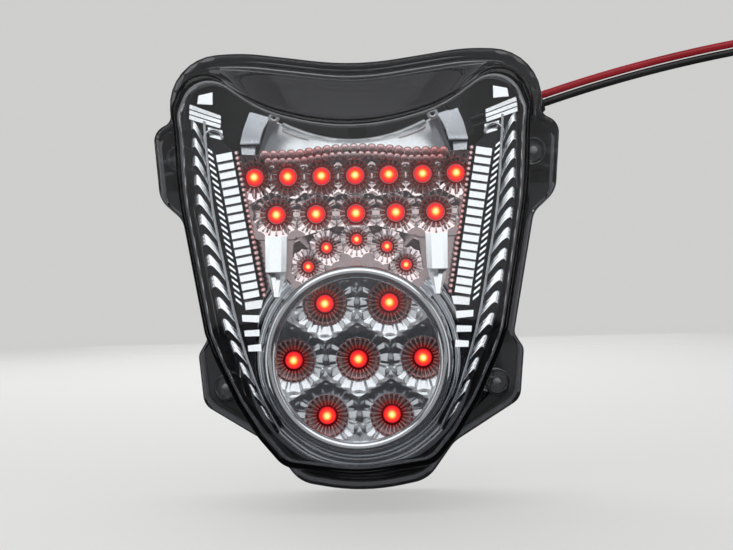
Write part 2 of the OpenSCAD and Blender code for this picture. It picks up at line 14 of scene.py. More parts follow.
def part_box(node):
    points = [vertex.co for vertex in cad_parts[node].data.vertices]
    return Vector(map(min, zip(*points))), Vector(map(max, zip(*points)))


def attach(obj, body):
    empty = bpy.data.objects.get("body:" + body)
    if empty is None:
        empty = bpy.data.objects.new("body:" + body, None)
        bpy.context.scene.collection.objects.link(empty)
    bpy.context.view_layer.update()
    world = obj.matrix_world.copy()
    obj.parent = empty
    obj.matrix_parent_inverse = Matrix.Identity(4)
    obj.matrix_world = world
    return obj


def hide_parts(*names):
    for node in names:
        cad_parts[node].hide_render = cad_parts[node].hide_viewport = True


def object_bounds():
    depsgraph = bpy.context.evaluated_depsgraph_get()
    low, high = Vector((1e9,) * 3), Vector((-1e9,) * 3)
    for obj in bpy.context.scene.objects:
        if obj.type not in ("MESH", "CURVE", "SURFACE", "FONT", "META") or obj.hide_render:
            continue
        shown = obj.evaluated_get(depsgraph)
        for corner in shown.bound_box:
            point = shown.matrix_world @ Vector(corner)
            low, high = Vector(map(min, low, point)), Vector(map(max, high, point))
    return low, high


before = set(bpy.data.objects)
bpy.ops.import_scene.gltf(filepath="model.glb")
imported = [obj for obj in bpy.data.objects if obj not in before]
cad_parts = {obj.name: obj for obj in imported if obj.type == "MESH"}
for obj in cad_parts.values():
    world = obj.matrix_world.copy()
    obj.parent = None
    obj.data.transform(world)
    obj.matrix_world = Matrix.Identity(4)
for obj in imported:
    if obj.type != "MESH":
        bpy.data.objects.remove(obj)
cad_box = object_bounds()

MM = 0.001
TAU = 2 * math.pi


def polar(centre, radius, degrees):
    """The point at a radius and an angle about a centre."""
    angle = math.radians(degrees)
    return (centre[0] + radius * math.cos(angle), centre[1] + radius * math.sin(angle))


def sided(name, side):
    return name + ("_left" if side < 0 else "_right")


# ---- Sizes taken from the frame ----

def node_box(node):
    """Lowest and highest corners of a CAD node, in millimetres."""
    low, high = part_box(node)
    return [v / MM for v in low], [v / MM for v in high]


LENS_LOW, LENS_HIGH = node_box("outer_lens")
RING_LOW, RING_HIGH = node_box("round_ring")
ROUND_LOW, ROUND_HIGH = node_box("round_reflector")

FLANGE_BACK = LENS_HIGH[1]
FLANGE_FRONT = FLANGE_BACK - 3.0
CROWN = 3.0
FACE_Y = LENS_LOW[1] + CROWN
WALL = 1.4
SHOULDER = 1.6

LAMP_R = (ROUND_HIGH[0] - ROUND_LOW[0]) / 2
LAMP_Z = (ROUND_HIGH[2] + ROUND_LOW[2]) / 2
ROUND_FRONT = ROUND_LOW[1]
RING_TUBE = 1.9
RING_R = LAMP_R + 0.4
SHELL = 0.6
RING_BACK = RING_HIGH[1]
CUP_PITCH = 18.0

FIELD_FRONT = node_box("main_reflector")[0][1]
TRIM_FRONT = node_box("side_trim_right")[0][1]
VISOR_FRONT = node_box("visor_panel")[0][1]
HOUSING_BACK = node_box("rear_housing")[1][1]
ROUND_BOARD_FRONT = node_box("round_board")[0][1]
UPPER_BOARD_FRONT = node_box("upper_board")[0][1]

LED_R = 2.5
SMALL_LED_R = 1.5

ROW_1 = [(9.55 * i, 28.4) for i in range(-3, 4)]
ROW_2 = [(11.3 * i, 17.6) for i in range(-2, 3)]
LARGE_CUPS = ROW_1 + ROW_2
SMALL_CUPS = [(0, 10.2), (8.6, 8), (-8.6, 8), (13.9, 2.7), (-13.9, 2.7)]
ROUND_CUPS = [(0, LAMP_Z)] + [polar((0, LAMP_Z), CUP_PITCH, a) for a in range(0, 360, 60)]

LADDER_TOP = Vector((36.2, 33.8))
LADDER_RUN = Vector((29.6, -4.6)) - LADDER_TOP
RUNGS = 17
RUNG_PITCH = LADDER_RUN.length / (RUNGS - 1)
RUNG_WIDE = 4.6
RIBS = 15
RIB_OUTER = [(45.6, 46), (44.7, 22), (41.6, 1.5), (38.3, -12.8), (34.1, -24), (29.4, -34),
             (23.2, -44.2)]
RIB_INNER = [(42.2, 44), (40.4, 21), (37.3, 3), (34.8, -10), (31.6, -22.5), (28, -33),
             (22.8, -43.2)]

# Half outlines as [x, z, corner radius], clockwise from the top: the flange, the dome's base, its face.
FLANGE = ((0, 62, 90),
          [(33, 66.6, 60), (56, 65.4, 15), (54.8, 46.5, 3), (60.2, 44, 5), (58.6, 23.5, 8), (52, 17.5, 6),
           (45.4, -18, 3), (48.2, -22.5, 4), (46.8, -37.5, 5), (27, -49.8, 10), (19, -60.8, 10)],
          (0, -64.5, 60))
BASE = ((0, 58.8, 80),
        [(33, 63.2, 55), (52.3, 61.8, 12), (51.8, 46.8, 3), (48.6, 43.5, 2.5), (48.4, 27, 2.5), (50, 21.5, 4),
         (43.2, -17.5, 3), (38.6, -21.5, 3), (35.6, -35.5, 4), (25.2, -47.4, 8), (17.3, -57.4, 9)],
        (0, -61.2, 50))
FACE = ((0, 40.4, 60),
        [(25, 46.8, 40), (43.5, 60, 8), (48.9, 46, 6), (48.3, 41, 10), (47.6, 27, 10), (47, 20.5, 10),
         (41, -15, 10), (38.4, -22, 10), (32.8, -34.2, 12), (27, -43.6, 12), (20.5, -51.4, 7)],
        (0, -54.4, 45))
FACE_CENTRE = Vector((0, -5))
HALF_FACE = 46.0
EAR_BOSSES = [(51.8, 35.4), (-51.8, 35.4), (39.6, -32), (-39.6, -32)]


# ---- Mesh helpers ----

def add_piece(name, mesh, smooth, replaces):
    """Adds a mesh as a piece of the lamp. Edges sharper than smooth degrees stay sharp."""
    mesh.shade_smooth()
    mesh.set_sharp_from_angle(angle=math.radians(smooth))
    piece = bpy.data.objects.new(name, mesh)
    bpy.context.collection.objects.link(piece)
    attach(piece, "root")
    if replaces:
        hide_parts(*replaces)
    return piece


class Build:
    """Gathers points and faces for one piece."""

    def __init__(self):
        self.verts = []
        self.faces = []

    def loft(self, rings, capped=False):
        """Joins rings of equal length into a skin. capped closes both ends."""
        n = len(rings[0])
        base = len(self.verts)
        self.verts += [tuple(p) for ring in rings for p in ring]
        for j in range(len(rings) - 1):
            for i in range(n):
                k = (i + 1) % n
                a, b = base + j * n, base + (j + 1) * n
                self.faces.append((a + i, a + k, b + k, b + i))
        if capped:
            self.faces.append(tuple(base + i for i in range(n)))
            self.faces.append(tuple(base + (len(rings) - 1) * n + i for i in reversed(range(n))))

    def block(self, points, front_of, back):
        """A prism over a plan in [x, z]; front_of gives each corner's front depth."""
        front = [(x, front_of(x, z), z) for x, z in points]
        rear = [(x, back, z) for x, z in points]
        self.loft([front, rear], capped=True)

    def lathe(self, centre, profile, steps):
        """Turns a closed profile of (radius, y) about the Y axis through centre [x, z]."""
        rings = [[(centre[0] + r * math.cos(TAU * i / steps), y, centre[1] + r * math.sin(TAU * i / steps))
                  for i in range(steps)] for r, y in profile]
        self.loft(rings + [rings[0]])

    def tube(self, path, radius, sides=12):
        """A round tube along points in 3D, closed at both ends."""
        points, rings = [Vector(p) for p in path], []
        for i, p in enumerate(points):
            ahead = (points[min(i + 1, len(points) - 1)] - points[max(i - 1, 0)]).normalized()
            side = ahead.cross(Vector((0, 1, 0)) if abs(ahead.y) < 0.9 else Vector((1, 0, 0))).normalized()
            up = side.cross(ahead)
            rings.append([p + radius * (math.cos(TAU * k / sides) * side + math.sin(TAU * k / sides) * up)
                          for k in range(sides)])
        self.loft(rings, capped=True)

    def piece(self, name, material, slot, smooth, replaces=()):
        mesh = bpy.data.meshes.new(name)
        mesh.from_pydata([(x * MM, y * MM, z * MM) for x, y, z in self.verts], [], self.faces)
        mesh.materials.append(material)
        clean = bmesh.new()
        clean.from_mesh(mesh)
        bmesh.ops.remove_doubles(clean, verts=clean.verts, dist=0.00001)
        bmesh.ops.recalc_face_normals(clean, faces=clean.faces)
        clean.to_mesh(mesh)
        clean.free()
        return add_piece(name, mesh, smooth, replaces)

    def plated(self, name, material, smooth, replaces=()):
        return self.piece(name, material, "chrome_plastic", smooth, replaces)

    def plated_shell(self, name, material, replaces=()):
        """A plated skin, thickened backwards."""
        piece = self.plated(name, material, 28, replaces)
        add_modifier(piece, "SOLIDIFY", thickness=SHELL * MM, offset=-1)


def add_modifier(piece, kind, **settings):
    modifier = piece.modifiers.new(kind.lower(), kind)
    for key, value in settings.items():
        setattr(modifier, key, value)


def along(line, t):
    """The point a share t of the way along a polyline of equal spans, eased through its corners."""
    spans = len(line) - 1
    at = min(max(t, 0.0), 1.0) * spans
    i = min(int(at), spans - 1)
    u = at - i
    p = [Vector(line[max(i - 1, 0)]), Vector(line[i]), Vector(line[i + 1]), Vector(line[min(i + 2, spans)])]
    return 0.5 * (2 * p[1] + (p[2] - p[0]) * u + (2 * p[0] - 5 * p[1] + 4 * p[2] - p[3]) * u * u
                  + (3 * p[1] - p[0] - 3 * p[2] + p[3]) * u ** 3)


def by_length(line, samples=160):
    """A function that gives the point a share t of the way along a line's true length."""
    points = [along(line, i / samples) for i in range(samples + 1)]
    reach = [0.0]
    for a, b in zip(points, points[1:]):
        reach.append(reach[-1] + (b - a).length)

    def point(t):
        goal = min(max(t, 0.0), 1.0) * reach[-1]
        i = min(bisect.bisect_right(reach, goal) - 1, samples - 1)
        return points[i].lerp(points[i + 1], (goal - reach[i]) / (reach[i + 1] - reach[i]))

    return point


def rounded_loop(half, arc_steps=8, straight_steps=6):
    """The closed outline of a half loop, with arcs at its corners and points along its straights."""
    top, right, bottom = half
    corners = [top] + right + [bottom] + [(-x, z, r) for x, z, r in reversed(right)]
    arcs = []
    for i, (x, z, r) in enumerate(corners):
        p = Vector((x, z))
        u = (Vector(corners[i - 1][:2]) - p).normalized()
        w = (Vector(corners[(i + 1) % len(corners)][:2]) - p).normalized()
        half_angle = math.acos(max(-1, min(1, u.dot(w)))) / 2
        centre = p + (u + w).normalized() * r / math.sin(half_angle)
        start = p + u * r / math.tan(half_angle) - centre
        end = p + w * r / math.tan(half_angle) - centre
        first = math.atan2(start.y, start.x)
        sweep = math.atan2(start.x * end.y - start.y * end.x, start.dot(end))
        arcs.append([centre + r * Vector((math.cos(first + sweep * s / arc_steps),
                                          math.sin(first + sweep * s / arc_steps)))
                     for s in range(arc_steps + 1)])
    line = []
    for i, arc in enumerate(arcs):
        line += arc
        following = arcs[(i + 1) % len(arcs)][0]
        line += [arc[-1].lerp(following, s / straight_steps) for s in range(1, straight_steps)]
    return line


def scaled(line, share):
    return [FACE_CENTRE + (p - FACE_CENTRE) * share for p in line]


def shrunk(line, inset):
    return scaled(line, 1 - inset / HALF_FACE)


def blended(a, b, t):
    return [p.lerp(q, t) for p, q in zip(a, b)]


def at_depth(line, y):
    return [(p.x, y, p.y) for p in line]


# ---- Materials ----

def set_inputs(node, **inputs):
    """Sets a node's inputs by name, with an underscore for each space."""
    for key, value in inputs.items():
        node.inputs[key.replace("_", " ")].default_value = value


def add_node(nodes, kind, **inputs):
    node = nodes.new("ShaderNode" + kind)
    set_inputs(node, **inputs)
    return node


def principled(name, color, roughness, metallic=0.0, **inputs):
    """A new material, its nodes and its shader, with the shader's inputs set."""
    material = bpy.data.materials.new(name)
    material.use_nodes = True
    nodes = material.node_tree.nodes
    shader = nodes["Principled BSDF"]
    set_inputs(shader, Base_Color=(*color, 1), Roughness=roughness, Metallic=metallic, **inputs)
    return material, nodes, shader


def join(source, target):
    """Links an output to an input of the same node tree."""
    source.id_data.links.new(source, target)


def object_vector(nodes, target):
    """Feeds a node with the object's own coordinates."""
    where = add_node(nodes, "TexCoord")
    join(where.outputs["Object"], target)


def ramp_node(nodes, stops):
    """A colour ramp through stops of (position, colour)."""
    ramp = add_node(nodes, "ValToRGB")
    ends = ramp.color_ramp.elements
    for end, (position, color) in zip(ends, (stops[0], stops[-1])):
        end.position, end.color = position, (*color, 1)
    for position, color in stops[1:-1]:
        ends.new(position).color = (*color, 1)
    return ramp


def math_output(nodes, operation, source, number):
    """The output of a Math node that works on another output and a number."""
    node = add_node(nodes, "Math")
    node.operation = operation
    node.inputs[1].default_value = number
    join(source, node.inputs[0])
    return node.outputs[0]


def noise_node(nodes, scale, detail=4.0):
    noise = add_node(nodes, "TexNoise", Scale=scale, Detail=detail)
    object_vector(nodes, noise.inputs["Vector"])
    return noise


def vary(nodes, source, target, low, high):
    """Drives an input between low and high by a noise."""
    spread = add_node(nodes, "MapRange", From_Min=0.3, From_Max=0.7, To_Min=low, To_Max=high)
    join(source.outputs["Fac"], spread.inputs["Value"])
    join(spread.outputs["Result"], target)


def tint(nodes, source, target, dark, light):
    """Drives a colour between dark and light by a noise."""
    ramp = ramp_node(nodes, ((0.3, dark), (0.7, light)))
    join(source.outputs["Fac"], ramp.inputs["Fac"])
    join(ramp.outputs["Color"], target)


def bump(nodes, source, shader, strength, distance):
    node = add_node(nodes, "Bump", Strength=strength, Distance=distance)
    join(source.outputs["Fac"], node.inputs["Height"])
    join(node.outputs["Normal"], shader.inputs["Normal"])


def textured(name, dark, light, rough, grain, depth, metallic=0.0, **inputs):
    """A moulded or plated finish: fine grain in its bump, and slow changes in colour and roughness."""
    material, nodes, shader = principled(name, light, rough[0], metallic, **inputs)
    slow = noise_node(nodes, 60)
    fine = noise_node(nodes, grain, 6)
    tint(nodes, slow, shader.inputs["Base Color"], dark, light)
    vary(nodes, slow, shader.inputs["Roughness"], *rough)
    bump(nodes, fine, shader, 0.5, depth)
    return material


def lens_material(name):
    """Clear moulded plastic: a touch of grey, faint flow ripple and slight haze."""
    material, nodes, shader = principled(
        name, (0.965, 0.98, 0.985), 0.01, Transmission_Weight=1.0, IOR=1.47)
    ripple = noise_node(nodes, 18, 2)
    haze = noise_node(nodes, 90, 5)
    vary(nodes, haze, shader.inputs["Roughness"], 0.0, 0.03)
    bump(nodes, ripple, shader, 0.25, 0.0002)
    return material


def chrome_material(name, color, rough):
    """Metallised plastic: bright, with slow ripple and uneven sheen."""
    return textured(name, tuple(0.93 * c for c in color), color, rough, 240, 0.00001, 1.0)


def led_material(name, power):
    """A lit LED: the light leaves forwards, so a yellow core fades through red to dark sides."""
    material, nodes, shader = principled(
        name, (0.16, 0.006, 0.005), 0.1, Coat_Weight=0.5, Coat_Roughness=0.05)
    facing = add_node(nodes, "NewGeometry")
    split = add_node(nodes, "SeparateXYZ")
    join(facing.outputs["Normal"], split.inputs["Vector"])
    forward = math_output(nodes, "MULTIPLY", split.outputs["Y"], -1)
    stops = ((0.0, (0.1, 0.002, 0.003)), (0.3, (0.5, 0.01, 0.018)), (0.6, (0.8, 0.014, 0.018)),
             (0.84, (1.0, 0.04, 0.015)), (0.91, (1.0, 0.22, 0.03)), (0.95, (1.0, 0.5, 0.06)),
             (1.0, (1.0, 0.85, 0.4)))
    glow = ramp_node(nodes, stops)
    join(forward, glow.inputs["Fac"])
    join(glow.outputs["Color"], shader.inputs["Emission Color"])
    rays = add_node(nodes, "LightPath")
    beam = add_node(nodes, "MapRange", To_Min=power, To_Max=MIRRORED_SHARE * power)
    join(rays.outputs["Is Reflection Ray"], beam.inputs["Value"])
    join(beam.outputs["Result"], shader.inputs["Emission Strength"])
    material.cycles.emission_sampling = "NONE"
    return material


def lead_material(name, dark, light, sleeve_x):
    """Soft vinyl wire. Inside the housing, left of sleeve_x, it runs under black sleeving."""
    material = textured(name, dark, light, (0.22, 0.4), 300, 0.00005)
    nodes = material.node_tree.nodes
    shader = nodes["Principled BSDF"]
    color = shader.inputs["Base Color"].links[0].from_socket
    split = add_node(nodes, "SeparateXYZ")
    object_vector(nodes, split.inputs["Vector"])
    outside = math_output(nodes, "GREATER_THAN", split.outputs["X"], sleeve_x * MM)
    mix = add_node(nodes, "Mix")
    mix.data_type = "RGBA"
    mix.inputs["A"].default_value = (0.01, 0.01, 0.01, 1)
    join(outside, mix.inputs["Factor"])
    join(color, mix.inputs["B"])
    join(mix.outputs["Result"], shader.inputs["Base Color"])
    return material


def board_material(name):
    """Solder mask over faint copper tracks."""
    material, nodes, shader = principled(name, (0.02, 0.16, 0.07), 0.35, Coat_Weight=0.4)
    tracks = add_node(nodes, "TexBrick", Scale=160, Color1=(0.02, 0.15, 0.06, 1),
                      Color2=(0.03, 0.19, 0.08, 1), Mortar=(0.05, 0.26, 0.11, 1))
    object_vector(nodes, tracks.inputs["Vector"])
    join(tracks.outputs["Color"], shader.inputs["Base Color"])
    bump(nodes, noise_node(nodes, 500), shader, 0.3, 0.00002)
    return material


def banded_material(name, body, band, scale):
    """Body colour with painted bands across X, as on resistors and diodes."""
    material, nodes, shader = principled(name, body, 0.35, Coat_Weight=0.3)
    wave = add_node(nodes, "TexWave", Scale=scale)
    object_vector(nodes, wave.inputs["Vector"])
    tint(nodes, wave, shader.inputs["Base Color"], band, body)
    bump(nodes, noise_node(nodes, 400), shader, 0.2, 0.00003)
    return material


# Moulded and plated finishes: dark and light colour, range of roughness, scale of the grain, depth of the
# grain in metres, and metallic.
FINISHES = {
    "bright_moulding": ((0.62, 0.65, 0.7), (0.8, 0.83, 0.87), (0.2, 0.34), 240, 0.00002, 0.55),
    # Pink tint of the reflector ribs: painted red reflection of the lit LEDs.
    "rib_painted_red_glow": ((0.85, 0.6, 0.6), (0.97, 0.88, 0.88), (0.14, 0.26), 240, 0.00001, 0.45),
    "polished_rim": ((0.84, 0.86, 0.88), (0.95, 0.96, 0.97), (0.12, 0.22), 240, 0.00001, 0.4),
    # Red to pink chrome: painted red reflection of the lit LEDs, used on the crest and the beads.
    "painted_red_glow_chrome": ((0.92, 0.34, 0.33), (0.97, 0.8, 0.8), (0.08, 0.2), 240, 0.00001, 0.65),
    "visor_plating": ((0.78, 0.8, 0.83), (0.86, 0.88, 0.9), (0.18, 0.26), 240, 0.00002, 0.9),
    # Near-black chrome: painted shade in the gaps of the side trims; on the clamp screw it is black oxide.
    "painted_shade_and_black_oxide": ((0.03, 0.03, 0.034), (0.07, 0.07, 0.076), (0.14, 0.26), 240, 0.00001, 0.8),
    "red_epoxy_rim": ((0.1, 0.004, 0.004), (0.18, 0.008, 0.006), (0.08, 0.2), 300, 0.00002, 0.0),
    "black_moulding": ((0.024, 0.024, 0.026), (0.032, 0.032, 0.034), (0.42, 0.52), 900, 0.00008, 0.0),
    "black_seal_rubber": ((0.01, 0.01, 0.01), (0.025, 0.024, 0.023), (0.6, 0.85), 500, 0.0001, 0.0),
    "black_vinyl": ((0.008, 0.008, 0.008), (0.02, 0.02, 0.02), (0.25, 0.42), 300, 0.00005, 0.0),
    "zinc_plate": ((0.465, 0.48, 0.495), (0.62, 0.64, 0.66), (0.22, 0.42), 700, 0.00003, 1.0),
    "brass_turned": ((0.5, 0.36, 0.12), (0.78, 0.6, 0.28), (0.18, 0.36), 600, 0.00003, 1.0),
}

# Plain chromes: colour and range of roughness.
CHROMES = {
    "bright_chrome": ((0.9, 0.92, 0.95), (0.03, 0.09)),
    "cup_chrome": ((0.82, 0.84, 0.87), (0.12, 0.2)),
    "satin_chrome": ((0.86, 0.88, 0.9), (0.12, 0.24)),
    # Pink tint of the upper field: painted red reflection of the lit LEDs.
    "field_painted_red_glow": ((0.97, 0.8, 0.8), (0.06, 0.14)),
    # Dark red chrome of the bowls round each LED: painted shade and painted red reflection of the LEDs.
    "bowl_painted_shade_red_glow": ((0.4, 0.2, 0.2), (0.1, 0.2)),
}
LED_POWER = 1.45
# How bright an LED looks in the chrome, as a share of its own brightness.
MIRRORED_SHARE = 0.3
SLEEVING_END = 49


def make_materials():
    """Every material by its own name."""
    made = [lens_material("clear_lens_plastic"), led_material("lit_red_led", LED_POWER),
            board_material("solder_mask"),
            banded_material("resistor_lacquer", (0.62, 0.45, 0.26), (0.3, 0.1, 0.04), 300),
            banded_material("diode_moulding", (0.02, 0.02, 0.02), (0.3, 0.3, 0.3), 90),
            lead_material("red_vinyl", (0.3, 0.004, 0.012), (0.48, 0.008, 0.02), SLEEVING_END),
            textured("clear_vinyl_sleeve", (0.5, 0.52, 0.5), (0.7, 0.72, 0.7), (0.2, 0.35), 200, 0.00005,
                     Transmission_Weight=0.6)]
    made += [chrome_material(name, *look) for name, look in CHROMES.items()]
    made += [textured(name, *look) for name, look in FINISHES.items()]
    return {material.name: material for material in made}


# ---- Lens ----

def dome_rows():
    """Rows of the dome as (depth, blend from base to face, scale): side wall, shoulder and crowned face."""
    side = 14
    top = FACE_Y + SHOULDER
    rows = [(FLANGE_FRONT + (top - FLANGE_FRONT) * i / side, i / side, 1) for i in range(side + 1)]
    inset = SHOULDER / HALF_FACE
    for a in range(10, 91, 10):
        lift, turn = math.sin(math.radians(a)), math.cos(math.radians(a))
        rows.append((FACE_Y + SHOULDER * (1 - lift), 1, 1 - inset * (1 - turn)))
    face_rows = 14
    for i in range(1, face_rows):
        scale = (1 - inset) * (1 - i / face_rows)
        rows.append((FACE_Y - CROWN * (1 - scale * scale), 1, scale))
    return rows


def outer_lens(material):
    """The clear lens: a flange with a bead round its edge, a hollow inside that, and the dome."""
    flange, base, face = (rounded_loop(half) for half in (FLANGE, BASE, FACE))
    rows = dome_rows()

    def line(row):
        return scaled(blended(base, face, row[1]), row[2])

    edge, bead, hollow = 0.5, 0.9, 0.7
    outer = [at_depth(shrunk(base, WALL), FLANGE_BACK), at_depth(shrunk(flange, edge), FLANGE_BACK),
             at_depth(flange, FLANGE_BACK - edge), at_depth(flange, FLANGE_FRONT + bead)]
    for a in range(20, 161, 20):
        inset = bead * (1 - math.cos(math.radians(a)))
        outer.append(at_depth(shrunk(flange, inset), FLANGE_FRONT + bead * (1 - math.sin(math.radians(a)))))
    for share, depth in ((0.4, hollow), (0.75, 0.55 * hollow)):
        outer.append(at_depth(blended(shrunk(flange, 2 * bead), base, share), FLANGE_FRONT + depth))
    outer += [at_depth(line(row), row[0]) for row in rows[1:]]
    inner = [at_depth(shrunk(line(row), WALL), row[0] + WALL) for row in rows]
    build = Build()
    n = len(base)
    for skin, tip_y in ((outer, FACE_Y - CROWN), (outer[:1] + inner, FACE_Y - CROWN + WALL)):
        build.loft(skin)
        apex = len(build.verts)
        last = apex - n
        build.verts.append((FACE_CENTRE.x, tip_y, FACE_CENTRE.y))
        build.faces += [(last + i, last + (i + 1) % n, apex) for i in range(n)]
    build.piece("outer_lens_clear", material, "clear_lens", 40, ["outer_lens"])


def ear_bosses(material):
    """Hollow screw bosses moulded on the front of the lens flange."""
    build = Build()
    front, back = FLANGE_FRONT - 7, FLANGE_FRONT - 0.01
    profile = [(1.3, back), (1.3, front + 1.2), (1.0, front + 1), (0.02, front + 1), (0.02, front),
               (3.2, front), (3.6, front + 0.4), (3.9, back)]
    for spot in EAR_BOSSES:
        build.lathe(spot, profile, 40)
    build.piece("lens_screw_bosses", material, "clear_lens", 35)


# ---- Reflectors ----

def cell_reach(centre, angle, rivals, walls, circle):
    """How far a cup's cell reaches at an angle: to half-way to its rivals, or to a wall or the circle."""
    direction = Vector((math.cos(angle), math.sin(angle)))
    here = Vector(centre)
    offsets = [Vector(rival) - here for rival in rivals]
    limits = [(offset, offset.length_squared / 2) for offset in offsets]
    limits += [(Vector(normal), limit - here.dot(Vector(normal))) for normal, limit in walls]
    reach = 60.0
    for normal, room in limits:
        towards = direction.dot(normal)
        if towards > 0.001:
            reach = min(reach, room / towards)
    middle, radius, inside = circle
    offset = here - Vector(middle)
    b = offset.dot(direction)
    disc = b * b - (offset.length_squared - radius * radius)
    if disc > 0:
        hit = -b + math.sqrt(disc) if inside else -b - math.sqrt(disc)
        if hit > 0:
            reach = min(reach, hit)
    return reach


def pillow(share):
    """One convex petal across its width, 0 at its edges and 1 on its ridge."""
    return 1 - (2 * (share % 1.0) - 1) ** 2


def tier_height(tiers, r, angle):
    """How far the cup stands forward at radius r. Each tier is (start, end, rise, petals, flute)."""
    height = 0.0
    for start, end, rise, petals, flute in tiers:
        if r <= start:
            break
        u = min(1.0, (r - start) / (end - start))
        height += rise * (0.85 * u + 0.15 * u * (2 - u))
        if u < 1:
            height += flute * pillow(petals * angle / TAU + 0.5) * min(1, 8 * u, 5 * (1 - u))
    return height


def cup_surface(build, centre, reach_at, tiers, base, turn_steps):
    """A fluted cup from its LED hole out to the edge of its cell, at depth base in its well."""
    rows_each, squeeze = 8, 0.02
    radii = [start + (end - start) * j / rows_each for start, end, *_ in tiers for j in range(rows_each)]
    radii.append(tiers[-1][1])
    rings = [[] for _ in radii]
    for i in range(turn_steps):
        angle = TAU * i / turn_steps
        reach = reach_at(angle)
        for j, radius in enumerate(radii):
            r = min(radius, reach - squeeze * (len(radii) - 1 - j))
            y = base - tier_height(tiers, r, angle)
            rings[j].append((centre[0] + r * math.cos(angle), y, centre[1] + r * math.sin(angle)))
    build.loft(rings)


def cup_ribs(build, centre, reach_at, tiers, base, count, start, end):
    """Thin radial ribs that stand on a cup, each with a bead at its outer end."""
    inner_half, outer_half, proud, root = 0.12, 0.24, 0.24, 0.4
    bead_profile = ((0.02, 0.9), (0.34, 0.9), (0.34, 0.1), (0.24, -0.12), (0.02, -0.2))
    for i in range(count):
        angle = TAU * (i + 0.5) / count
        last = min(end, reach_at(angle) - 0.5)
        if last < start + 0.6:
            continue
        along_x, along_z = math.cos(angle), math.sin(angle)
        front, rear = [], []
        for r, half in ((start, -inner_half), (start, inner_half), (last, outer_half), (last, -outer_half)):
            x, z = centre[0] + r * along_x - half * along_z, centre[1] + r * along_z + half * along_x
            y = base - tier_height(tiers, r, angle)
            front.append((x, y - proud, z))
            rear.append((x, y + root, z))
        build.loft([front, rear], capped=True)
        tip = base - tier_height(tiers, last, angle) - proud
        bead = [(r, tip + y) for r, y in bead_profile]
        build.lathe((centre[0] + last * along_x, centre[1] + last * along_z), bead, 8)


# Tiers of a cup as (start radius, end radius, rise, petals, flute).
ROUND_TIERS = [(2.62, 5.6, 2.8, 24, 0.2), (5.6, 9.3, 1.95, 16, 0.42), (9.3, 14, 0.9, 16, 0.25)]
LARGE_TIERS = [(2.62, 4.2, 1.4, 20, 0.18), (4.2, 7.0, 1.45, 14, 0.2), (7.0, 9, 0.4, 14, 0)]
SMALL_TIERS = [(1.62, 2.8, 1.1, 14, 0.12), (2.8, 5.4, 1.3, 12, 0.16), (5.4, 8, 0.4, 12, 0)]


def reflector(node, parts, walls, circle, base, turns, rib_count, rib_spans, petal_look, mats):
    """A reflector's petals, bowls and ribs. Each part is a centre and its tiers; None keeps a cell free."""
    petals, bowls, ribs = Build(), Build(), Build()
    for centre, tiers in parts:
        if not tiers:
            continue
        rivals = [other for other, _ in parts if other != centre]

        def reach_at(angle):
            return cell_reach(centre, angle, rivals, walls, circle)

        cup_surface(bowls, centre, reach_at, tiers[:1], base, turns)
        cup_surface(petals, centre, reach_at, tiers[1:], base - tiers[0][2], turns)
        hole, rim = tiers[0][:2]
        cup_ribs(ribs, centre, reach_at, tiers, base, rib_count, hole + rib_spans[0], rim + rib_spans[1])
    petals.plated_shell(node + "_cups", mats[petal_look], [node])
    # The bowls' dark red chrome is painted shade and a painted red reflection of the LEDs.
    bowls.plated_shell(node + "_bowls", mats["bowl_painted_shade_red_glow"])
    # The ribs' pink tint is a painted red reflection of the LEDs.
    ribs.plated(node + "_ribs", mats["rib_painted_red_glow"], 28)


def round_reflector(mats):
    parts = [(cup, ROUND_TIERS) for cup in ROUND_CUPS]
    circle = ((0, LAMP_Z), LAMP_R, True)
    reflector("round_reflector", parts, [], circle, ROUND_FRONT + 6.2, 144, 24, (0.38, -0.1),
              "cup_chrome", mats)


def field_walls():
    """The slanted sides, the top and the bottom of the upper lamp's field."""
    top_half, low_half, top, low = 32.7, 26.3, 34.4, -7.0
    lean = math.atan2(top_half - low_half, top - low)
    side = Vector((math.cos(lean), -math.sin(lean)))
    reach = side.dot(Vector((top_half, top)))
    return [((side.x, side.y), reach), ((-side.x, side.y), reach), ((0, 1), top), ((0, -1), -low)]


def main_reflector(mats):
    parts = [(cup, LARGE_TIERS) for cup in LARGE_CUPS] + [(cup, SMALL_TIERS) for cup in SMALL_CUPS]
    parts += [(pillar, None) for pillar in ((22.8, 3.5), (-22.8, 3.5))]
    circle = ((0, LAMP_Z), RING_R + 1.4, False)
    # The field's pink chrome is a painted red reflection of the LEDs.
    reflector("main_reflector", parts, field_walls(), circle, FIELD_FRONT + 4.8, 112, 18, (0.5, 1.6),
              "field_painted_red_glow", mats)


def field_floor(material):
    """The flat of the upper reflector, between and beside its cups, cut round the lower lamp."""
    build = Build()
    half_top, half_low, top, low = 33.6, 26.4, 34.2, -8.0
    radius = RING_R + 1.2
    first = math.asin((low - LAMP_Z) / radius)
    steps = 40
    turns = [first + (math.pi - 2 * first) * i / steps for i in range(steps + 1)]
    arc = [(radius * math.cos(a), LAMP_Z + radius * math.sin(a)) for a in turns]
    upper = [(half_top - 2 * half_top * i / steps, top) for i in range(steps + 1)]
    front, back = FIELD_FRONT + 5.6, FIELD_FRONT + 6.3
    rings = [[(a[0], front, a[1]), (b[0], front, b[1]), (b[0], back, b[1]), (a[0], back, a[1])]
             for a, b in zip(arc, upper)]
    build.loft(rings, capped=True)
    for side in (-1, 1):
        plan = [(side * half_low, low), (side * half_top, top), (side * arc[0][0], arc[0][1])]
        build.block(plan, lambda x, z: front, back)
    build.plated("main_reflector_flat", material, 28)


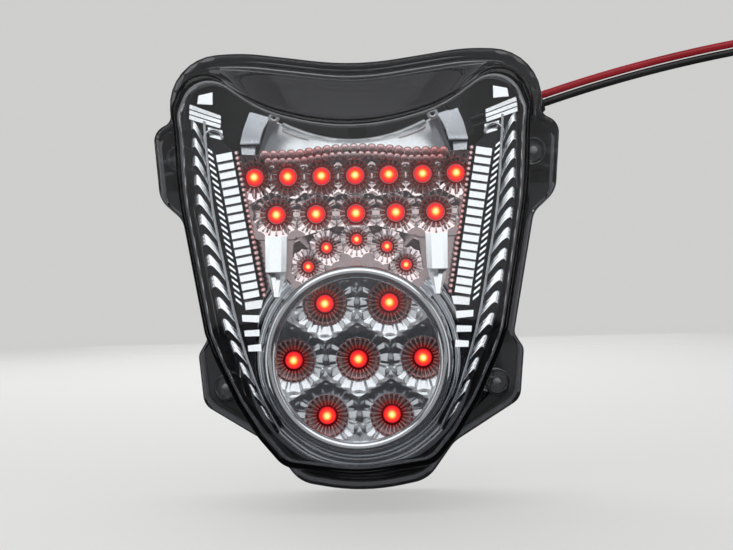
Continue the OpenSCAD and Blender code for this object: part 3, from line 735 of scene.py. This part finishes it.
def round_ring(material):
    """Bright ring: a rounded front bead on a deep skirt."""
    build = Build()
    bead = [polar((RING_R, RING_LOW[1] + RING_TUBE), RING_TUBE, a) for a in range(20, -201, -10)]
    skirt_out, skirt_in = RING_R + 0.8, LAMP_R + 0.02
    profile = [(skirt_out, RING_BACK)] + bead + [(skirt_in, bead[-1][1] + 0.6), (skirt_in, RING_BACK)]
    build.lathe((0, LAMP_Z), profile, 180)
    build.plated("round_ring_bright", material, 40, ["round_ring"])


def lamp_surround(material):
    """Stepped arcs on both sides of the round lamp, from its ring out under the side trims."""
    build = Build()
    inner, outer, bands, rows = RING_R + 1.0, 32.2, 3, 7
    near, far, thick, swell = FIELD_FRONT + 0.1, FIELD_FRONT + 2.1, 0.7, 0.75
    first, turn, steps = -89.9, 138, 60
    profile = []
    for k in range(bands * rows + 1):
        u = k / (bands * rows)
        profile.append((inner + (outer - inner) * u, near + (far - near) * u - swell * pillow(u * bands)))
    profile += [(outer, far + thick), (inner, near + thick)]
    for side in (-1, 1):
        rings = []
        for i in range(steps + 1):
            spots = [(polar((0, LAMP_Z), r, first + turn * i / steps), y) for r, y in profile]
            rings.append([(side * x, y, z) for (x, z), y in spots])
        build.loft(rings, capped=True)
    build.plated("lamp_surround", material, 25)


def facet_pillars(material):
    """Faceted prisms under the outer cups of the second row. Their faces lean up to the light."""
    build = Build()
    leans, middle, ahead, root = (0.28, 0.44, 0.36, 0.3), 22.6, 2.4, 5.6
    prisms = ((11.4, 1.4, 3.1, 2.9), (1.2, -5.6, 2.7, 0.9))
    edges = (-1, -0.5, 0.1, 0.65, 1)
    falls = (0.3, 0.05, 0.0, 0.1, 0.3)
    for side in (-1, 1):
        for top, low, half_top, half_low in prisms:
            for k in range(len(edges) - 1):
                corners = [(edges[k], falls[k]), (edges[k + 1], falls[k + 1])]
                plan = [(side * (middle + e * half_top), top, f) for e, f in corners]
                plan += [(side * (middle + e * half_low), low, f) for e, f in reversed(corners)]
                front = [(x, FIELD_FRONT - ahead + leans[k] * (z - low) + fall, z) for x, z, fall in plan]
                rear = [(x, FIELD_FRONT + root, z) for x, z, _ in plan]
                build.loft([front, rear], capped=True)
    build.plated("facet_pillars", material, 15)


# ---- Visor ----

VISOR_HALF = 27.0
VISOR_DIP = 37.7
VISOR_RISE = 9.6
PIN_SPOT = (22.2, 44.7)


def visor_edge(x):
    """The concave upper edge of the visor."""
    return VISOR_DIP + VISOR_RISE * (x / VISOR_HALF) ** 2


def visor_foot(x):
    """The lower edge of the visor. It arches over the crest of the field."""
    return 34.5 + 1.4 * max(0.0, 1 - (x / 15) ** 2)


def visor_bow(x):
    """How far the visor falls back towards its ends."""
    return 6.5 * (x / VISOR_HALF) ** 2


def visor_panel(material):
    """A bright crescent under a concave edge. It leans up and falls back at its ends."""
    build = Build()
    columns, rows = 64, 14
    lip, foot_half, head_half, out = 0.5, 27.4, 24.0, 2.4
    front = VISOR_FRONT
    rings = []
    for i in range(columns + 1):
        share = -1 + 2 * i / columns
        top, low = visor_edge(share * head_half), visor_foot(share * foot_half)
        height = top - lip - low
        column = []
        for j in range(rows + 1):
            t = j / rows
            x = share * (foot_half + (head_half - foot_half) * t)
            lean = height * (0.55 - 0.22 * t) * t
            column.append((x, front - out + visor_bow(x) + lean, low + height * t))
        x = share * head_half
        back = front + visor_bow(x)
        column += [(x, back + 1.4, top - 0.6 * lip), (x, back + 1.2, top), (x, back + 2.4, top),
                   (share * foot_half, front + visor_bow(share * foot_half) + 1.0, low)]
        rings.append(column)
    build.loft(rings, capped=True)
    build.plated("visor_panel_bright", material, 30, ["visor_panel"])


def visor_rim(material):
    """Two bright beads along the concave edge of the visor."""
    build = Build()
    for drop, radius in ((0.0, 0.6), (1.45, 0.4)):
        edge = [(x / 2, VISOR_FRONT + visor_bow(x / 2) + 0.2 - 0.6 * drop, visor_edge(x / 2) - drop)
                for x in range(-40, 41)]
        build.tube(edge, radius)
    build.plated("visor_rim", material, 30)


def visor_brackets(material):
    """Slanted light panels that carry the visor, each with a hollowed inner edge and a small foot."""
    build = Build()
    front, lean, steps = VISOR_FRONT + 0.2, 2.4, 12
    line_in = [(23.6, 44.9), (25.4, 41.6), (26.5, 38.2), (26.6, 37.4)]
    line_out = [(29.2, 46.7), (30.9, 42.4), (31.9, 38.2), (32.0, 37.4)]
    for side in (-1, 1):
        rings = []
        for i in range(steps + 1):
            t = i / steps
            a, b = along(line_in, t), along(line_out, t)
            y = front + lean * (1 - t) ** 1.5
            rings.append([(side * a.x, y, a.y), (side * b.x, y + 0.5, b.y),
                          (side * b.x, front + 3.6, b.y), (side * a.x, front + 3.6, a.y)])
        build.loft(rings, capped=True)
        foot = [(27.8, 36.9), (31.8, 36.9), (31.6, 34.6), (27.9, 34.4)]
        plan = [(side * x, z) for x, z in foot]
        build.block(plan, lambda x, z: front + 0.4 * (z - 34.4) + 0.5, front + 3.4)
    build.plated("visor_brackets", material, 25)


def visor_pins(material):
    """Two short hollow pins with a rounded lip."""
    build = Build()
    front = VISOR_FRONT - 0.8
    half_profile = ((0.55, 0.5), (0.75, 0.1), (1.0, 0), (1.35, 0.15), (1.6, 0.5), (1.65, 0.9), (1.15, 1.3),
                    (1.15, 3.6), (0.55, 3.6))
    profile = [(r, front + y) for r, y in half_profile]
    for side in (-1, 1):
        build.lathe((side * PIN_SPOT[0], PIN_SPOT[1]), profile, 40)
    build.plated("visor_pins_hollow", material, 35, ["visor_pins"])


def field_crest(material):
    """Two rows of small convex scallops along the top of the field, through the visor's foot."""
    build = Build()
    foot, back = VISOR_FRONT - 2.4, VISOR_FRONT + 2.4
    for row, (radius, pitch) in enumerate(((1.35, 2.5), (1.05, 2.0))):
        half = int(25.5 / pitch)
        profile = [(radius, back), (radius, foot)]
        profile += [(radius * math.cos(a), foot - 0.5 * radius * math.sin(a)) for a in (0.3, 0.6, 0.9, 1.2)]
        profile += [(0.02, foot - 0.5 * radius), (0.02, back)]
        for i in range(-half, half + 1):
            x = i * pitch
            build.lathe((x, visor_foot(x) - 0.3 - 1.9 * row), profile, 20)
    build.plated("field_crest", material, 50)


# ---- Side trims ----

def on_trim(side, s, w):
    """A place on a side's ladder: s runs down its length, w runs outwards across it."""
    down = LADDER_RUN.normalized()
    p = LADDER_TOP + down * s + Vector((-down.y, down.x)) * w
    return (side * p.x, p.y)


def wedge(build, side, s0, s1, w0, w1, back, high, low):
    """A block whose bevelled face leans upwards, from depth high at its top to depth low at its foot."""
    bevel = 0.08

    def ring(inset, top_y, low_y):
        spots = ((s0 + inset, w0 + inset, top_y), (s0 + inset, w1 - inset, top_y),
                 (s1 - inset, w1 - inset, low_y), (s1 - inset, w0 + inset, low_y))
        return [(x, y, z) for s, w, y in spots for x, z in [on_trim(side, s, w)]]

    rings = [ring(0, back, back), ring(0, high + bevel, low + bevel), ring(bevel, high, low)]
    build.loft(rings, capped=True)


def ladder(side, material):
    """Bright rungs, each leaning up to the light."""
    build = Build()
    half, half_tall = RUNG_WIDE / 2, 1.14
    back, high, low = TRIM_FRONT + 2, TRIM_FRONT + 0.95, TRIM_FRONT + 0.12
    for i in range(RUNGS):
        s = i * RUNG_PITCH
        wedge(build, side, s - half_tall, s + half_tall, -half, half, back, high, low)
    build.plated(sided("ladder", side), material, 20)


def hexagon(spot, radius, y):
    """Six points about a spot, on a plane that leans back towards its top."""
    corners = [polar(spot, radius, 60 * k) for k in range(6)]
    return [(x, y + 0.5 * (z - spot[1]), z) for x, z in corners]


def beads(side, material):
    """A string of small faceted beads along the inner edge of the ladder."""
    build = Build()
    pitch = 1.5
    for i in range(int(LADDER_RUN.length / pitch) + 3):
        spot = on_trim(side, i * pitch - 0.6, -RUNG_WIDE / 2 - 1.15)
        ring = hexagon(spot, 0.74, TRIM_FRONT + 1.3)
        top = hexagon(spot, 0.42, TRIM_FRONT + 0.7)
        foot = [(p[0], TRIM_FRONT + 2.2, p[2]) for p in ring]
        build.loft([foot, ring, top], capped=True)
    build.plated(sided("bead_strip", side), material, 15)


def teeth(side, material):
    """Short slanted teeth between the ladder and the rail, leaning straight up to the light."""
    build = Build()
    near, far, half, slant, lean = RUNG_WIDE / 2 + 0.75, RUNG_WIDE / 2 + 2.25, 0.38, 1.1, 0.42
    pitch = RUNG_PITCH / 1.3
    for i in range(-1, int(LADDER_RUN.length / pitch) + 3):
        s = i * pitch
        corners = [(s - half, near), (s - half - slant * (far - near), far),
                   (s + half - slant * (far - near), far), (s + half, near)]
        plan = [on_trim(side, *corner) for corner in corners]
        low = min(z for _, z in plan)
        build.block(plan, lambda x, z: TRIM_FRONT + 0.3 + lean * (z - low), TRIM_FRONT + 2.2)
    build.plated(sided("teeth", side), material, 20)


def rib_starts():
    """Where each rib begins, as shares of the trim's length. The pitch grows down the trim."""
    first, last = 4.7, 6.6
    pitches = [first + (last - first) * i / (RIBS - 1) for i in range(RIBS)]
    total = sum(pitches) + 3.0
    return [(sum(pitches[:i]), pitches[i], total) for i in range(RIBS)]


def side_ribs(side, material):
    """Slanted louvres from the rail to the trim's outer edge. Three fine streaks run along each."""
    build = Build()
    inner, outer = by_length(RIB_INNER), by_length(RIB_OUTER)
    climb, share, lean, steps, streaks = 5.2, 0.52, 0.42, 10, 3
    for begin, pitch, total in rib_starts():
        def ring(k):
            u = k / steps
            shift = climb * (1 - (1 - u) ** 1.5) - 1.6 * u ** 6
            face = []
            for j in range(4 * streaks + 1):
                v = j / (4 * streaks)
                place = (begin + climb - shift + share * pitch * v) / total
                p = inner(place).lerp(outer(place), u * 0.97)
                face.append((p, 0.05 * pillow(v * streaks)))
            top, low = face[0][0], face[-1][0]
            drop = 0.9 * u * u
            near, far = TRIM_FRONT + 0.35 + drop, TRIM_FRONT + 2.9 + drop
            front = [(side * p.x, near + lean * (p.y - low.y) - bulge, p.y) for p, bulge in face]
            return front + [(side * low.x, far, low.y), (side * top.x, far, top.y)]

        build.loft([ring(k) for k in range(steps + 1)], capped=True)
    build.plated(sided("side_ribs", side), material, 22)


def trim_base(side, material):
    """The thin plate that carries ladder, teeth and ribs, and its two legs."""
    build = Build()
    steps, ladder_share = 48, 0.62
    front, back, leg_end = TRIM_FRONT + 2.0, TRIM_FRONT + 3.2, HOUSING_BACK - 9
    inner_edge = [(32.6, 34.6), (25.9, -4.8), (27.2, -8), (29.4, -26), (22, -41)]
    rings = []
    for k in range(steps + 1):
        t = k / steps
        a = along(RIB_OUTER, t)
        if t < ladder_share:
            b = Vector(inner_edge[0]).lerp(Vector(inner_edge[1]), t / ladder_share)
        else:
            b = along(inner_edge[1:], (t - ladder_share) / (1 - ladder_share))
        rings.append([(side * a.x, front + 1.2, a.y), (side * b.x, front, b.y),
                      (side * b.x, back, b.y), (side * a.x, back + 1.2, a.y)])
    build.loft(rings, capped=True)
    bore, leg = 0.9, 3
    for x, z in ((39, 27), (32.6, -14.6)):
        build.lathe((side * x, z), [(bore, back), (leg, back), (leg, leg_end), (bore, leg_end)], 32)
    # Its near-black chrome is painted shade in the gaps between ladder, teeth and ribs.
    build.plated(sided("trim_base", side), material, 30, [sided("side_trim", side)])


def trim_rail(side, material):
    """A thin rail that runs down the trim and arches over the top of the toothed strip."""
    build = Build()
    steps, inset, arch_r, head_drop, tube_r = 60, 0.5, 2.5, 5, 0.38
    line = [along(RIB_INNER, k / steps) for k in range(steps + 1)]
    head = (line[0].x - inset - arch_r, line[0].y - head_drop)
    run = [(p.x - inset, p.y) for p in line]
    arch = [polar(head, arch_r, a) for a in range(180, -1, -15)]
    for path in (run, arch):
        build.tube([(side * x, TRIM_FRONT + 0.4, z) for x, z in path], tube_r)
    build.plated(sided("trim_rail", side), material, 40)


def trim_caps(side, material):
    """The broad bars and flat plate at the top of a trim, and the bars beside the round lamp."""
    build = Build()
    front = TRIM_FRONT + 0.6
    bars = [[(39.2, 52.0), (43.1, 51.2), (43.4, 48.8), (39.2, 48.6)],
            [(37.0, 45.5), (45.6, 48.8), (45.7, 47.6), (37.0, 44.5)],
            [(37.0, 44.2), (45.7, 47.3), (45.8, 46.2), (37.0, 43.2)],
            [(37.0, 42.9), (45.8, 45.9), (45.8, 44.7), (37.2, 41.9)],
            [(36.6, 41.3), (40.8, 42.6), (40.7, 41.4), (36.6, 40.2)],
            [(36.4, 39.8), (40.4, 41.0), (40.2, 39.6), (36.4, 38.5)],
            [(26.4, -6.4), (31.6, -6.0), (31.2, -9.0), (26.9, -8.6)],
            [(27.4, -10.6), (32.4, -10.4), (32.2, -12.2), (27.6, -12.6)],
            [(27.6, -14.6), (31.8, -14.8), (31.6, -16.4), (27.5, -16.4)],
            [(27.2, -18.6), (30.9, -19.0), (30.7, -20.6), (27.0, -20.6)]]
    for bar in bars:
        top, low = max(z for _, z in bar), min(z for _, z in bar)
        plan = [(side * x, z) for x, z in bar]
        build.block(plan, lambda x, z: front + 1.0 * (z - low) / (top - low), TRIM_FRONT + 2.6)
    build.plated(sided("trim_caps", side), material, 25)


# ---- LEDs ----

def leds(node, cups, radius, long, front, mats):
    """Glowing LED bodies with round domes, and the dark rims they stand on. front is the board's front."""
    domes, rims = Build(), Build()
    dome = front - long
    wide, tall, foot, axis = radius + 0.4, 0.98, 1, 0.02
    arc = [polar((0, dome + radius), radius, -a) for a in range(0, 90, 9)]
    for cup in cups:
        domes.lathe(cup, [(axis, front - foot), (radius, front - foot)] + arc + [(axis, dome)], 32)
        rims.lathe(cup, [(axis, front), (wide, front), (wide, front - tall), (axis, front - tall)], 32)
    rims.piece(node + "_rims", mats["red_epoxy_rim"], "red_led", 40)
    domes.piece(node + "_lit", mats["lit_red_led"], "red_led", 40, [node])


# ---- Rear housing ----

def softened(name, node, material, width):
    """A copy of a CAD node with its flat faces merged and its moulded edges rounded by width."""
    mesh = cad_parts[node].data.copy()
    mesh.name = name
    mesh.materials.clear()
    mesh.materials.append(material)
    clean = bmesh.new()
    clean.from_mesh(mesh)
    bmesh.ops.remove_doubles(clean, verts=clean.verts, dist=0.000005)
    bmesh.ops.dissolve_limit(clean, angle_limit=math.radians(1), verts=clean.verts, edges=clean.edges)
    clean.to_mesh(mesh)
    clean.free()
    piece = add_piece(name, mesh, 30, [node])
    add_modifier(piece, "BEVEL", width=width * MM, segments=3, limit_method="ANGLE",
                 angle_limit=math.radians(40), harden_normals=True)


# ---- Carried-over CAD nodes ----

def finish_cad_nodes(mats):
    """Gives every CAD node that stays visible its own material."""
    looks = {
        "black_moulding": ["wire_clamp"],
        "black_seal_rubber": ["lens_gasket", "wire_grommet", "breather_cap"],
        "zinc_plate": ["lens_screws", "board_screws", "reflector_screws", "trim_screws", "ring_screws"],
        "painted_shade_and_black_oxide": ["clamp_screw"],
        "brass_turned": ["mounting_inserts", "bullet_terminals"],
        "solder_mask": ["round_board", "upper_board"],
        "resistor_lacquer": ["round_resistors", "upper_resistors"],
        "diode_moulding": ["protection_diodes"],
        "red_vinyl": ["red_wire"],
        "black_vinyl": ["black_wire", "jumper_wires"],
        "clear_vinyl_sleeve": ["terminal_sleeves"],
    }
    for look, nodes in looks.items():
        for node in nodes:
            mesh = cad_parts[node].data
            mesh.materials.clear()
            mesh.materials.append(mats[look])


# ---- Stage ----

PALE = (0.62, 0.62, 0.615, 1)


def pale_floor():
    """A plain pale floor that fades into the pale background."""
    material, nodes, shader = principled(
        "pale_floor", (0.3, 0.3, 0.295), 0.8, Emission_Color=PALE, Emission_Strength=0.75)
    bump(nodes, noise_node(nodes, 40), shader, 0.05, 0.0005)
    length = add_node(nodes, "VectorMath")
    length.operation = "LENGTH"
    fade = add_node(nodes, "MapRange", From_Min=0.35, From_Max=1.6, To_Min=1, To_Max=0)
    fade.interpolation_type = "SMOOTHSTEP"
    object_vector(nodes, length.inputs[0])
    join(length.outputs["Value"], fade.inputs["Value"])
    join(fade.outputs["Result"], shader.inputs["Alpha"])
    mesh = bpy.data.meshes.new("floor")
    size, gap = 2.0, 0.002
    corners = [(-size, -size, 0), (size, -size, 0), (size, size, 0), (-size, size, 0)]
    mesh.from_pydata(corners, [], [(0, 1, 2, 3)])
    mesh.materials.append(material)
    floor = bpy.data.objects.new("floor", mesh)
    floor.location.z = cad_box[0].z - gap
    floor.visible_glossy = False
    floor.visible_transmission = False
    bpy.context.collection.objects.link(floor)


def studio_world():
    """Pale to the camera; to reflections and through the lens, a dark room that is lighter overhead."""
    world = bpy.data.worlds.new("studio")
    bpy.context.scene.world = world
    world.use_nodes = True
    nodes = world.node_tree.nodes
    nodes.clear()
    out = add_node(nodes, "OutputWorld")
    mix = add_node(nodes, "MixShader")
    rays = add_node(nodes, "LightPath")
    seen = add_node(nodes, "Background", Color=PALE, Strength=1.0)
    room = add_node(nodes, "Background", Strength=1.0)
    where = add_node(nodes, "TexCoord")
    split = add_node(nodes, "SeparateXYZ")
    ramp = ramp_node(nodes, ((0.45, (0.045, 0.045, 0.05)), (1.0, (0.24, 0.24, 0.25))))
    lift = add_node(nodes, "MapRange", From_Min=-1)
    join(where.outputs["Generated"], split.inputs["Vector"])
    join(split.outputs["Z"], lift.inputs["Value"])
    join(lift.outputs["Result"], ramp.inputs["Fac"])
    join(ramp.outputs["Color"], room.inputs["Color"])
    join(rays.outputs["Is Camera Ray"], mix.inputs["Fac"])
    join(room.outputs["Background"], mix.inputs[1])
    join(seen.outputs["Background"], mix.inputs[2])
    join(mix.outputs["Shader"], out.inputs["Surface"])


def soft_light(name, where, aim, size, radiance, reflected=True):
    """A rectangular panel of even radiance: a mirror shows it at just that brightness."""
    data = bpy.data.lights.new(name, "AREA")
    data.shape = "RECTANGLE"
    data.size, data.size_y = size
    data.energy = radiance * math.pi * size[0] * size[1]
    light = bpy.data.objects.new(name, data)
    light.location = where
    light.visible_camera = False
    light.visible_glossy = reflected
    light.visible_transmission = reflected and where[1] < 0
    light.rotation_euler = (Vector(aim) - Vector(where)).to_track_quat("-Z", "Y").to_euler()
    bpy.context.collection.objects.link(light)


def make_camera():
    """A long lens in front of the lamp, a little to its right and rolled."""
    data = bpy.data.cameras.new("camera")
    data.lens = 85.7
    data.sensor_width = 36
    data.clip_start, data.clip_end = 0.05, 20
    camera = bpy.data.objects.new("camera", data)
    distance, turn, roll = 480 * MM, math.radians(1.2), math.radians(1.3)
    shift = 2.9 * MM
    camera.location = (shift + distance * math.sin(turn), ROUND_FRONT * MM - distance * math.cos(turn), 0.0)
    camera.rotation_euler = (Matrix.Rotation(turn, 3, "Z") @ Matrix.Rotation(roll, 3, "Y")
                             @ Matrix.Rotation(math.radians(90), 3, "X")).to_euler()
    bpy.context.collection.objects.link(camera)
    bpy.context.scene.camera = camera


def make_stage():
    pale_floor()
    studio_world()
    target = (0, -0.05, 0.0)
    soft_light("top_softbox", (0.0, -0.62, 0.72), target, (1.3, 0.62), 1.25)
    soft_light("left_panel", (-0.85, -0.55, 0.1), target, (0.5, 0.9), 0.7)
    soft_light("right_panel", (0.9, -0.5, 0.15), target, (0.5, 0.9), 0.7)
    soft_light("front_panel", (0.0, -1.3, 0.35), target, (1.8, 1.0), 0.28)
    soft_light("back_softbox", (-0.35, 0.85, 0.5), (0, 0, 0), (1.1, 0.7), 2.2, reflected=False)
    soft_light("rear_panel", (0.0, 1.2, 0.06), (0, 0, 0), (0.6, 0.36), 1.4)
    soft_light("floor_wash", (0.0, 0.6, 1.6), (0, 0.1, -0.06), (1.6, 1.2), 1.6, reflected=False)
    make_camera()
    view = bpy.context.scene.view_settings
    view.view_transform = "Standard"
    view.look = "None"


def build_lamp():
    mats = make_materials()
    outer_lens(mats["clear_lens_plastic"])
    ear_bosses(mats["clear_lens_plastic"])
    round_reflector(mats)
    main_reflector(mats)
    # The crest's red to pink chrome is a painted red reflection of the LEDs.
    field_crest(mats["painted_red_glow_chrome"])
    # The flat's pink chrome is a painted red reflection of the LEDs.
    field_floor(mats["field_painted_red_glow"])
    round_ring(mats["bright_chrome"])
    lamp_surround(mats["bright_chrome"])
    facet_pillars(mats["satin_chrome"])
    visor_panel(mats["visor_plating"])
    visor_rim(mats["polished_rim"])
    visor_brackets(mats["bright_moulding"])
    visor_pins(mats["polished_rim"])
    # The beads take the red to pink chrome: a painted red reflection of the LEDs.
    trims = ((trim_base, "painted_shade_and_black_oxide"), (ladder, "satin_chrome"), (beads, "painted_red_glow_chrome"),
             (teeth, "bright_chrome"), (side_ribs, "bright_chrome"), (trim_rail, "bright_chrome"),
             (trim_caps, "satin_chrome"))
    for side in (-1, 1):
        for make, look in trims:
            make(side, mats[look])
    leds("round_leds", ROUND_CUPS, LED_R, 6.6, ROUND_BOARD_FRONT, mats)
    leds("large_leds", LARGE_CUPS, LED_R, 6.6, UPPER_BOARD_FRONT, mats)
    leds("small_leds", SMALL_CUPS, SMALL_LED_R, 6.2, UPPER_BOARD_FRONT, mats)
    softened("rear_housing_moulded", "rear_housing", mats["black_moulding"], 0.6)
    finish_cad_nodes(mats)


build_lamp()
make_stage()
